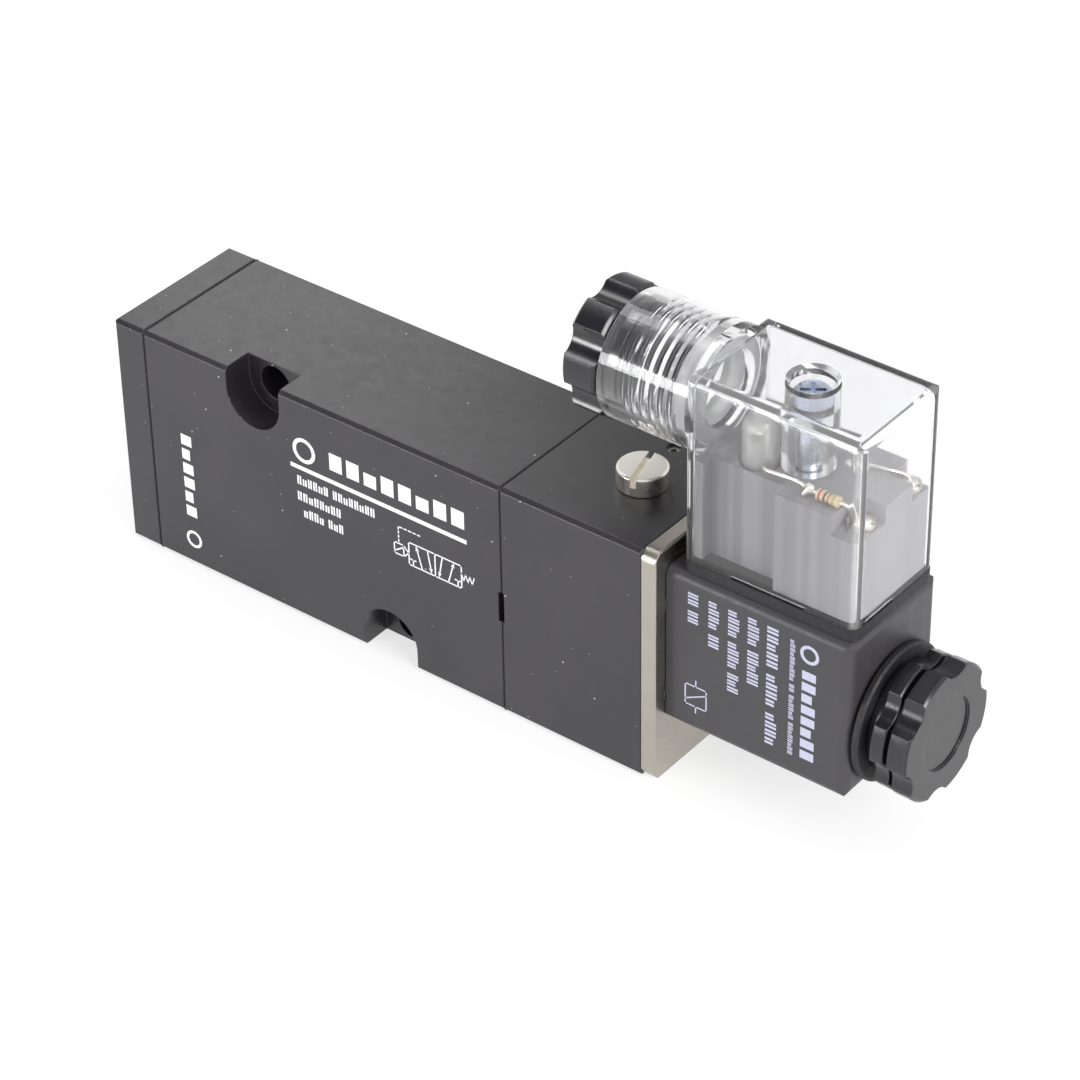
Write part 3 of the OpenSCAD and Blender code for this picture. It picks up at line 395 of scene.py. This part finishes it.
def plain_steel():
    """Machined steel with turning marks."""
    s = Surface("plain_steel", (0.52, 0.52, 0.53, 1), 0.34, 1.0)
    s.feed("Base Color", s.mix(s.noise(220, 4), (0.45, 0.45, 0.46, 1), (0.6, 0.6, 0.6, 1)))
    s.feed("Roughness", s.remap(s.noise(500, 4), 0.3, 0.7, 0.28, 0.42))
    s.bump(s.noise(800, 2, scale=(12, 0.3, 0.3)), 0.005 * MM)
    return s.material


def brass():
    """Machined brass, a little dulled."""
    s = Surface("brass", (0.78, 0.58, 0.28, 1), 0.3, 1.0)
    s.feed("Base Color", s.mix(s.noise(260, 4), (0.70, 0.50, 0.22, 1), (0.84, 0.66, 0.36, 1)))
    s.feed("Roughness", s.remap(s.noise(600, 4), 0.3, 0.7, 0.24, 0.38))
    s.bump(s.noise(900, 2, scale=(10, 0.3, 0.3)), 0.004 * MM)
    return s.material


def copper_wire():
    """Enamelled copper wound side by side along the bobbin."""
    s = Surface("copper_wire", (0.62, 0.27, 0.12, 1), 0.28, 1.0)
    turns = s.node("ShaderNodeTexWave", {
        "Vector": s.place, "Scale": 330.0, "Distortion": 0.4, "Detail": 1.0,
    }, bands_direction="X")
    s.feed("Base Color", s.mix(turns.outputs["Fac"], (0.28, 0.09, 0.04, 1), (0.74, 0.36, 0.17, 1)))
    s.feed("Roughness", s.remap(s.noise(700, 3), 0.3, 0.7, 0.22, 0.36))
    s.bump(turns.outputs["Fac"], 0.05 * MM)
    return s.material


# The wall of the clear box, with a little to spare
PLUG_WALL = 1.5 * MM


def clear_plastic():
    """Clear polycarbonate: slight surface waviness, mould haze, and painted light: the corners round the
    box and all edges are made whiter by less transmission, standing in for light piped through the wall.
    """
    s = Surface("clear_plastic", (0.985, 0.985, 0.995, 1), 0.04)
    on_box = s.math("GREATER_THAN", s.position("X"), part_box("connector_insert")[0].x - PLUG_WALL)
    corners = s.math("MULTIPLY", s.rounded_corners(), on_box)
    # Painted light: corners and edges turn whiter, as if lit through the wall.
    painted_light_edges = s.math("MAXIMUM", corners, s.edges(0.25 * MM))
    s.feed("Transmission Weight", s.remap(painted_light_edges, 0.0, 1.0, 0.98, 0.86))
    s.constant("IOR", 1.42)
    s.feed("Roughness", s.remap(s.noise(260, 5, 0.65), 0.35, 0.75, 0.02, 0.12))
    s.bump(s.noise(150, 2), 0.03 * MM, 0.5)
    return s.material


def lamp_resin():
    """Clear cast resin of the lamp, a little cloudy."""
    s = Surface("lamp_resin", (0.98, 0.98, 0.96, 1), 0.06)
    s.constant("Transmission Weight", 0.62)
    s.constant("IOR", 1.42)
    s.feed("Roughness", s.remap(s.noise(500, 4), 0.35, 0.75, 0.03, 0.14))
    s.bump(s.noise(400, 2), 0.02 * MM, 0.5)
    return s.material


def insert_moulding():
    """Grey-black terminal block with upright flow bands, and painted shade: darker towards its left end,
    paler towards its right end.
    """
    s = Surface("insert_moulding", (0.17, 0.165, 0.18, 1), 0.5)
    # Painted shade: darker at the left end of the block, paler at its right end.
    painted_shade_gradient = s.mix(s.along_node("connector_insert"), (0.20, 0.193, 0.205, 1), (0.38, 0.373, 0.38, 1))
    bands = s.remap(s.noise(420, 2, scale=(1, 0.6, 0.01)), 0.42, 0.58, 0, 0.45)
    s.feed("Base Color", s.mix(bands, painted_shade_gradient, (0.46, 0.45, 0.47, 1)))
    s.feed("Roughness", s.remap(s.noise(700, 4), 0.3, 0.7, 0.4, 0.55))
    s.bump(s.noise(1500, 2), 0.006 * MM)
    return s.material


def silicone():
    """Translucent silicone of the cable seal."""
    s = Surface("silicone", (0.9, 0.9, 0.9, 1), 0.35)
    s.constant("Transmission Weight", 0.6)
    s.constant("IOR", 1.41)
    s.feed("Base Color", s.mix(s.noise(400, 4), (0.84, 0.84, 0.84, 1), (0.94, 0.94, 0.93, 1)))
    s.bump(s.noise(1500, 2), 0.01 * MM)
    return s.material


def resistor_body():
    """Cream lacquer with four colour bands along the resistor."""
    s = Surface("resistor_body", (0.80, 0.68, 0.48, 1), 0.3)
    along = s.along_node("indicator_resistor")
    colour = (0.80, 0.68, 0.48, 1)
    half_width = 0.045
    bands = ((0.17, (0.50, 0.06, 0.03, 1)), (0.38, (0.05, 0.04, 0.04, 1)),
             (0.55, (0.55, 0.24, 0.03, 1)), (0.80, (0.60, 0.45, 0.16, 1)))
    for middle, paint in bands:
        distance = s.math("ABSOLUTE", s.math("SUBTRACT", along, middle))
        colour = s.mix(s.math("LESS_THAN", distance, half_width), colour, paint)
    s.feed("Base Color", colour)
    s.bump(s.noise(1800, 2), 0.01 * MM)
    return s.material


def white_print():
    """Pad-printed white ink, a little uneven; the coil's print is thinner and looks blue-grey."""
    s = Surface("white_print", (0.80, 0.80, 0.82, 1), 0.5)
    on_coil = s.math("GREATER_THAN", s.position("X"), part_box("coil_housing")[0].x)
    ink = s.mix(on_coil, (0.86, 0.86, 0.89, 1), (0.50, 0.50, 0.64, 1))
    thin = s.remap(s.noise(1400, 5, 0.7), 0.3, 0.46, 0.22, 0)
    s.feed("Base Color", s.mix(thin, ink, (0.2, 0.2, 0.23, 1)))
    s.bump(s.noise(4000, 2), 0.006 * MM)
    return s.material


FINISHES = (
    anodised_aluminium, spool_aluminium, black_moulding, knob_plastic, rubber, nickel_plate, zinc_steel,
    plain_steel, brass, copper_wire, clear_plastic, lamp_resin, insert_moulding, silicone, resistor_body,
    white_print,
)


def dress_nodes(materials):
    """Gives each CAD node the finish of its slot in the record."""
    for row in frame["record"]["subparts"]:
        node = NODES[row["node"]]
        node.data.materials.clear()
        node.data.materials.append(materials[row["material_slot"]])


# ---- Mesh helpers, in millimetres ----

def add_piece(name, body, material, mesh):
    """A new object of that mesh, in metres already, that rides on a body."""
    piece = bpy.data.objects.new(name, mesh)
    bpy.context.scene.collection.objects.link(piece)
    mesh.materials.append(MATERIALS[material])
    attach(piece, body)
    return piece


def finished(name, mesh_data, smooth=False):
    """Turns a bmesh drawn in millimetres into a mesh in metres."""
    bmesh.ops.recalc_face_normals(mesh_data, faces=mesh_data.faces)
    bmesh.ops.scale(mesh_data, vec=(MM, MM, MM), verts=mesh_data.verts)
    mesh = bpy.data.meshes.new(name)
    mesh_data.to_mesh(mesh)
    mesh_data.free()
    for polygon in mesh.polygons:
        polygon.use_smooth = smooth
    return mesh


def add_tube(mesh_data, path, radius, sides=12, steps=6):
    """A closed round tube along a smooth curve through the points of path; radius may be a list."""
    points = [Vector(point) for point in path]
    radii = radius if isinstance(radius, list) else [radius] * len(points)
    ends = [points[0] * 2 - points[1], *points, points[-1] * 2 - points[-2]]
    centres, sizes = [], []
    for i in range(len(points) - 1):
        a, b, c, d = ends[i:i + 4]
        for step in range(steps + (i == len(points) - 2)):
            t = step / steps
            bend = (c - a) * t + (2 * a - 5 * b + 4 * c - d) * t * t + (3 * b - a - 3 * c + d) * t ** 3
            centres.append(b + bend / 2)
            sizes.append(radii[i] * (1 - t) + radii[i + 1] * t)
    rings = []
    side = Vector((0.13, 0.21, 0.97))
    for i, (centre, size) in enumerate(zip(centres, sizes)):
        along = (centres[min(i + 1, len(centres) - 1)] - centres[max(i - 1, 0)]).normalized()
        side = (side - along * side.dot(along)).normalized()
        across = along.cross(side)
        rings.append([
            mesh_data.verts.new(centre + (side * math.cos(a) + across * math.sin(a)) * size)
            for a in (2 * math.pi * k / sides for k in range(sides))
        ])
    for low, high in zip(rings, rings[1:]):
        for k in range(sides):
            mesh_data.faces.new((low[k], low[(k + 1) % sides], high[(k + 1) % sides], high[k]))
    mesh_data.faces.new(rings[0])
    mesh_data.faces.new(rings[-1])


def add_blob(mesh_data, centre, size, lumps=0.12):
    """A small rounded lump of solder, size along x, y and z."""
    made = bmesh.ops.create_icosphere(mesh_data, subdivisions=3, radius=1.0)
    for vertex in made["verts"]:
        wave = math.sin(5 * vertex.co.x + 2 * vertex.co.y) * math.cos(4 * vertex.co.z - vertex.co.y)
        swell = 1 + lumps * wave
        vertex.co = Vector(centre) + Vector([swell * v * s for v, s in zip(vertex.co, size)])


# ---- Printing: thin closed slabs of ink on a front face ----

INK_PROUD = 0.02
INK_SUNK = 0.05
LINE = 0.21
# Rows lower than this have two thin bars in each block's place
SMALL_ROW = 1.9
# Gap between words, in blocks, and how much lower the short blocks are, as a share of the row
WORD_GAP = 0.7
SHORTER = 0.24


class Print:
    """Ink on the front face at face_y, drawn in millimetres of x and z."""

    def __init__(self, face_y):
        self.shape = bmesh.new()
        self.face_y = face_y / MM

    def patch(self, outline):
        """A filled convex outline of (x, z) points."""
        front = [self.shape.verts.new((x, self.face_y - INK_PROUD, z)) for x, z in outline]
        back = [self.shape.verts.new((x, self.face_y + INK_SUNK, z)) for x, z in outline]
        self.shape.faces.new(front)
        self.shape.faces.new(back)
        for i in range(len(outline)):
            j = (i + 1) % len(outline)
            self.shape.faces.new((front[i], front[j], back[j], back[i]))

    def bar(self, x0, x1, z0, z1):
        self.patch([(x0, z0), (x1, z0), (x1, z1), (x0, z1)])

    def stroke(self, *points, width=LINE):
        for (x0, z0), (x1, z1) in zip(points, points[1:]):
            length = math.hypot(x1 - x0, z1 - z0)
            dx, dz = (x1 - x0) / length * width / 2, (z1 - z0) / length * width / 2
            self.patch([
                (x0 - dx - dz, z0 - dz + dx), (x1 + dx - dz, z1 + dz + dx),
                (x1 + dx + dz, z1 + dz - dx), (x0 - dx + dz, z0 - dz - dx),
            ])

    def box(self, x0, x1, z0, z1):
        self.stroke((x0, z0), (x1, z0), (x1, z1), (x0, z1), (x0, z0))

    def arrow(self, start, end, head=0.85):
        """A line with a filled head at its end."""
        along = (Vector(end) - Vector(start)).normalized()
        across = Vector((-along.y, along.x)) * head * 0.36
        root = Vector(end) - along * head
        self.stroke(start, tuple(root))
        self.patch([tuple(root + across), end, tuple(root - across)])

    def ring(self, x, z, radius, width, sides=32):
        """A round ring, as a closed chain of short patches."""
        for k in range(sides):
            corners = []
            for turn, size in ((k, radius), (k + 1, radius), (k + 1, radius - width), (k, radius - width)):
                angle = 2 * math.pi * turn / sides
                corners.append((x + size * math.cos(angle), z + size * math.sin(angle)))
            self.patch(corners)

    def row(self, x0, x1, z0, z1, words, downwards=False):
        """Plain blocks in place of a line of type: so many blocks in each word, from start to end.

        Downwards, the row runs from z1 to z0 and x0 to x1 is its height.
        """
        length, height = (z1 - z0, x1 - x0) if downwards else (x1 - x0, z1 - z0)
        cells = sum(words) + WORD_GAP * (len(words) - 1)
        pitch = length / cells
        place = 0.0
        for count in words:
            for k in range(count):
                low = SHORTER * height if (k * 7 + count) % 3 == 1 else 0.0
                bars = ((0.14, 0.42), (0.58, 0.86)) if height < SMALL_ROW else ((0.14, 0.86),)
                for start, end in bars:
                    a, b = place + start * pitch, place + end * pitch
                    if downwards:
                        self.bar(x0, x1 - low, z1 - b, z1 - a)
                    else:
                        self.bar(x0 + a, x0 + b, z0, z1 - low)
                place += pitch
            place += WORD_GAP * pitch

    def done(self, name, body):
        add_piece(name, body, "white_print", finished(name, self.shape))


def print_valve_symbol(ink, x, z, size):
    """The standard drawing of a 5/2 valve, pilot solenoid at the left, spring at the right."""
    height = size * 0.81
    ink.box(x, x + 2 * size, z, z + height)
    ink.stroke((x + size, z), (x + size, z + height))
    top = z + height - LINE / 2
    low = z + LINE / 2
    left, right = x, x + size
    ink.arrow((left + 0.50 * size, low), (left + 0.28 * size, top))
    ink.arrow((left + 0.72 * size, top), (left + 0.86 * size, low))
    ink.arrow((right + 0.50 * size, low), (right + 0.72 * size, top))
    ink.arrow((right + 0.28 * size, top), (right + 0.14 * size, low))
    for port_x in (left + 0.16 * size, right + 0.86 * size):
        ink.stroke((port_x, low), (port_x, z + 0.22 * size))
        ink.stroke((port_x - 0.1 * size, z + 0.22 * size), (port_x + 0.1 * size, z + 0.22 * size))
    # Solenoid box with its slanted coil line, and the pilot triangle beside it
    ink.box(x - 0.56 * size, x - 0.2 * size, z + 0.2 * size, z + 0.6 * size)
    ink.stroke((x - 0.56 * size, z + 0.28 * size), (x - 0.2 * size, z + 0.52 * size))
    ink.stroke((x - 0.2 * size, z + 0.2 * size), (x, z + 0.4 * size), (x - 0.2 * size, z + 0.6 * size))
    # Spring
    teeth = [(x + 2 * size + 0.08 * size * k, z + (0.3 if k % 2 else 0.56) * size) for k in range(7)]
    ink.stroke(*teeth, width=LINE * 0.8)
    # Dashed pilot line, up and then across
    dash_x = x - 0.38 * size
    for k in range(4):
        ink.stroke((dash_x, z + (0.68 + 0.15 * k) * size), (dash_x, z + (0.74 + 0.15 * k) * size))
    dash_top = z + 1.22 * size
    for k in range(5):
        dash_start = x - 0.32 * size + 0.17 * k * size
        ink.stroke((dash_start, dash_top), (dash_start + 0.08 * size, dash_top))


def print_body_front():
    """Rule, plain blocks in place of the maker's lines, a row up the left side and the valve symbol."""
    ink = Print(FRONT_Y)
    ink.bar(-5.4, 26.8, 7.25, 7.95)
    ink.ring(-2.7, 10.8, 2.1, 0.62)
    ink.row(1.6, 26.9, 9.6, 12.5, [8])
    ink.row(-4.4, 10.2, 4.6, 6.1, [6, 8])
    ink.row(-4.5, 3.8, 1.8, 3.3, [8])
    ink.row(-3.5, 4.1, -0.9, 0.6, [4, 3])
    ink.row(-26.9, -24.9, -10.8, 4.4, [6], downwards=True)
    ink.ring(-25.85, -14.6, 1.5, 0.45)
    print_valve_symbol(ink, 16.2, -0.75, 4.75)
    ink.done("body_print", "valve")


def print_coil_front():
    """Rows of plain blocks that run down the coil, and the standard drawing of a solenoid."""
    ink = Print(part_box("coil_housing")[0].y)
    ink.row(62.9, 64.6, 8.8, 14.0, [2, 2], downwards=True)
    ink.row(66.3, 68.0, 6.2, 14.0, [4, 2], downwards=True)
    ink.row(69.5, 71.3, 0.2, 14.0, [4, 4, 3], downwards=True)
    ink.row(72.7, 74.5, 3.0, 14.2, [4, 5], downwards=True)
    ink.row(75.8, 77.6, -5.7, 14.2, [5, 4, 4], downwards=True)
    ink.row(79.5, 80.3, -5.7, 13.6, [10, 2, 6, 8], downwards=True)
    ink.row(81.5, 83.7, -5.6, 9.6, [8], downwards=True)
    ink.ring(82.6, 12.2, 1.5, 0.5)
    ink.box(62.6, 66.1, -5.0, -1.6)
    ink.stroke((62.6, -4.2), (66.1, -2.4))
    ink.stroke((64.35, -1.6), (64.35, -0.6))
    ink.stroke((64.35, -5.0), (64.35, -6.0))
    ink.done("coil_print", "coil")


# ---- Small parts inside the clear plug ----

CLAMP_HEAD_R = 1.5
CLAMP_HEIGHT = 4.0
LEAD_R = 0.25
POST_R = 0.28


def live_clamps():
    """The middles of the two live clamp screws' heads at their tops, in millimetres."""
    low, high = (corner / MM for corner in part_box("clamp_screws"))
    x, z = high.x - CLAMP_HEAD_R, low.z + CLAMP_HEIGHT
    return [Vector((x, y, z)) for y in (low.y + CLAMP_HEAD_R, high.y - CLAMP_HEAD_R)]


def wire_lamp():
    """Bent bare leads with their solder, from the lamp past the resistor to the two live clamps."""
    lamp_low, lamp_high = (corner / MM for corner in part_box("indicator_led"))
    body_low, body_high = (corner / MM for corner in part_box("indicator_resistor"))
    floor_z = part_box("connector_insert")[1].z / MM
    y, z = (body_low.y + body_high.y) / 2, (body_low.z + body_high.z) / 2
    front, back = live_clamps()
    leads = bmesh.new()
    middle = (lamp_low + lamp_high) / 2
    foot = Vector((middle.x + 2.0, middle.y - 2.1, floor_z - 0.3))
    add_tube(leads, [
        foot, foot + Vector((0.15, -0.2, 1.0)), foot + Vector((1.2, -0.6, 1.3)),
        (body_low.x - 3.4, y + 0.3, z + 0.35), (body_low.x - 1.5, y + 0.05, z + 0.05),
        (body_low.x + 0.3, y, z),
    ], LEAD_R)
    add_tube(leads, [
        (body_high.x - 0.3, y, z), (body_high.x + 0.9, y + 0.1, z - 0.1),
        front + Vector((-0.6, -0.4, 1.1)), front + Vector((0, 0, -0.1)),
    ], LEAD_R)
    add_tube(leads, [
        back + Vector((0, 0, -0.1)), back + Vector((-0.3, -0.6, 1.3)),
        (back.x - 2.4, back.y - 2.4, floor_z + 0.55), (back.x - 5.2, back.y - 2.9, floor_z + 0.4),
        (back.x - 6.6, back.y - 3.0, floor_z - 0.2),
    ], LEAD_R)
    add_blob(leads, (body_low.x - 1.3, y, z + 0.15), (0.75, 0.6, 0.85))
    add_tube(leads, [
        (body_low.x - 1.3, y, z + 0.2), (body_low.x - 1.7, y - 0.5, z - 0.3),
        (body_low.x - 1.9, y - 0.8, z - 0.9),
    ], [0.55, 0.45, 0.2])
    add_blob(leads, front + Vector((0.1, -0.1, 0.05)), (1.15, 1.1, 0.6))
    add_blob(leads, back + Vector((0, 0, 0.05)), (1.1, 1.1, 0.6))
    add_blob(leads, (back.x - 6.6, back.y - 3.0, floor_z + 0.1), (0.6, 0.6, 0.35))
    wires = add_piece("lamp_wires", "connector", "nickel_plate", finished("lamp_wires", leads, True))
    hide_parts("indicator_leads")


def fill_lamp():
    """The two posts and the cup inside the lamp."""
    low, high = (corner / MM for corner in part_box("indicator_led"))
    x, y = (low.x + high.x) / 2, (low.y + high.y) / 2
    posts = bmesh.new()
    for side, top in ((-0.9, high.z - 3.6), (0.9, high.z - 3.0)):
        path = [(x + side, y, low.z + 0.2), (x + side, y, top - 1.0), (x + side * 0.7, y, top)]
        add_tube(posts, path, POST_R)
    cup = [(x - 0.5, y, high.z - below) for below in (4.4, 3.6, 2.9)]
    add_tube(posts, cup, [0.35, 0.7, 1.0])
    add_piece("lamp_posts", "connector", "nickel_plate", finished("lamp_posts", posts, True))


# ---- Springs ----

SPRING_STEPS = 18
# Radius of the wire in millimetres and number of turns
SPRINGS = {"return_spring": (0.4, 5), "plunger_spring": (0.3, 6)}


def wind_springs():
    """Springs wound at full length in place of the CAD ones, which the record lists as shortening towards
    their held ends as their joints move.
    """
    for joint in frame["record"]["behaviour"]["joints"]:
        for row in joint.get("deforming_nodes", []):
            wire, turns = SPRINGS[row["node"]]
            low, high = (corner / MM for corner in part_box(row["node"]))
            middle = (low + high) / 2
            length = high.x - low.x
            radius = (high.y - low.y) / 2 - wire
            steps = turns * SPRING_STEPS
            path = []
            for i in range(steps + 1):
                angle = 2 * math.pi * i / SPRING_STEPS
                x = low.x + wire + (length - 2 * wire) * i / steps
                path.append((x, middle.y + radius * math.cos(angle), middle.z + radius * math.sin(angle)))
            wound = bmesh.new()
            add_tube(wound, path, wire, steps=1)
            name = row["node"] + "_wire"
            spring = add_piece(name, "valve", "plain_steel", finished(name, wound, True))
            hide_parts(row["node"])
            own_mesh(spring)


# ---- Threads ----

# Millimetres, apart from the turns, the steps in a turn and the run-out, which is in steps
PORT_PITCH = 1.337
THREAD_TURNS = 6
THREAD_STEPS = 48
THREAD_DEPTH = 0.55
THREAD_LEAST = 0.02
THREAD_START = 0.9
THREAD_RUN_OUT = 20
# Half-heights of a ridge at its root and its tip, and how far its root is sunk into the wall
ROOT_HALF = 0.5
TIP_HALF = 0.08
ROOT_SUNK = 0.05


def thread_ports():
    """Helical ridges of the G1/4 threads in the three ports of the bottom face."""
    for mount in frame["record"]["mounts"]:
        if mount["kind"] != "threaded_hole":
            continue
        centre = Vector(mount["pos_m"]) / MM
        bore = mount["dims"]["r_mm"]
        root = bore + ROOT_SUNK
        steps = THREAD_TURNS * THREAD_STEPS
        ridge = bmesh.new()
        rings = []
        for i in range(steps + 1):
            angle = 2 * math.pi * i / THREAD_STEPS
            z = BODY_LOW.z / MM + THREAD_START + PORT_PITCH * i / THREAD_STEPS
            share = min(1, i / THREAD_RUN_OUT, (steps - i) / THREAD_RUN_OUT)
            tip = bore - THREAD_DEPTH * share - THREAD_LEAST
            out = Vector((math.cos(angle), -math.sin(angle), 0))
            section = ((-ROOT_HALF, root), (-TIP_HALF, tip), (TIP_HALF, tip), (ROOT_HALF, root))
            rings.append([
                ridge.verts.new(Vector((centre.x, centre.y, z + up)) + out * size) for up, size in section
            ])
        for low, high in zip(rings, rings[1:]):
            for k in range(4):
                ridge.faces.new((low[k], low[(k + 1) % 4], high[(k + 1) % 4], high[k]))
        ridge.faces.new(rings[0])
        ridge.faces.new(rings[-1])
        name = "thread_" + mount["name"]
        add_piece(name, "valve", "anodised_aluminium", finished(name, ridge))


# ---- Build ----

make_camera()
make_studio()
MATERIALS = {finish.__name__: finish() for finish in FINISHES}
dress_nodes(MATERIALS)
print_body_front()
print_coil_front()
wire_lamp()
fill_lamp()
wind_springs()
thread_ports()
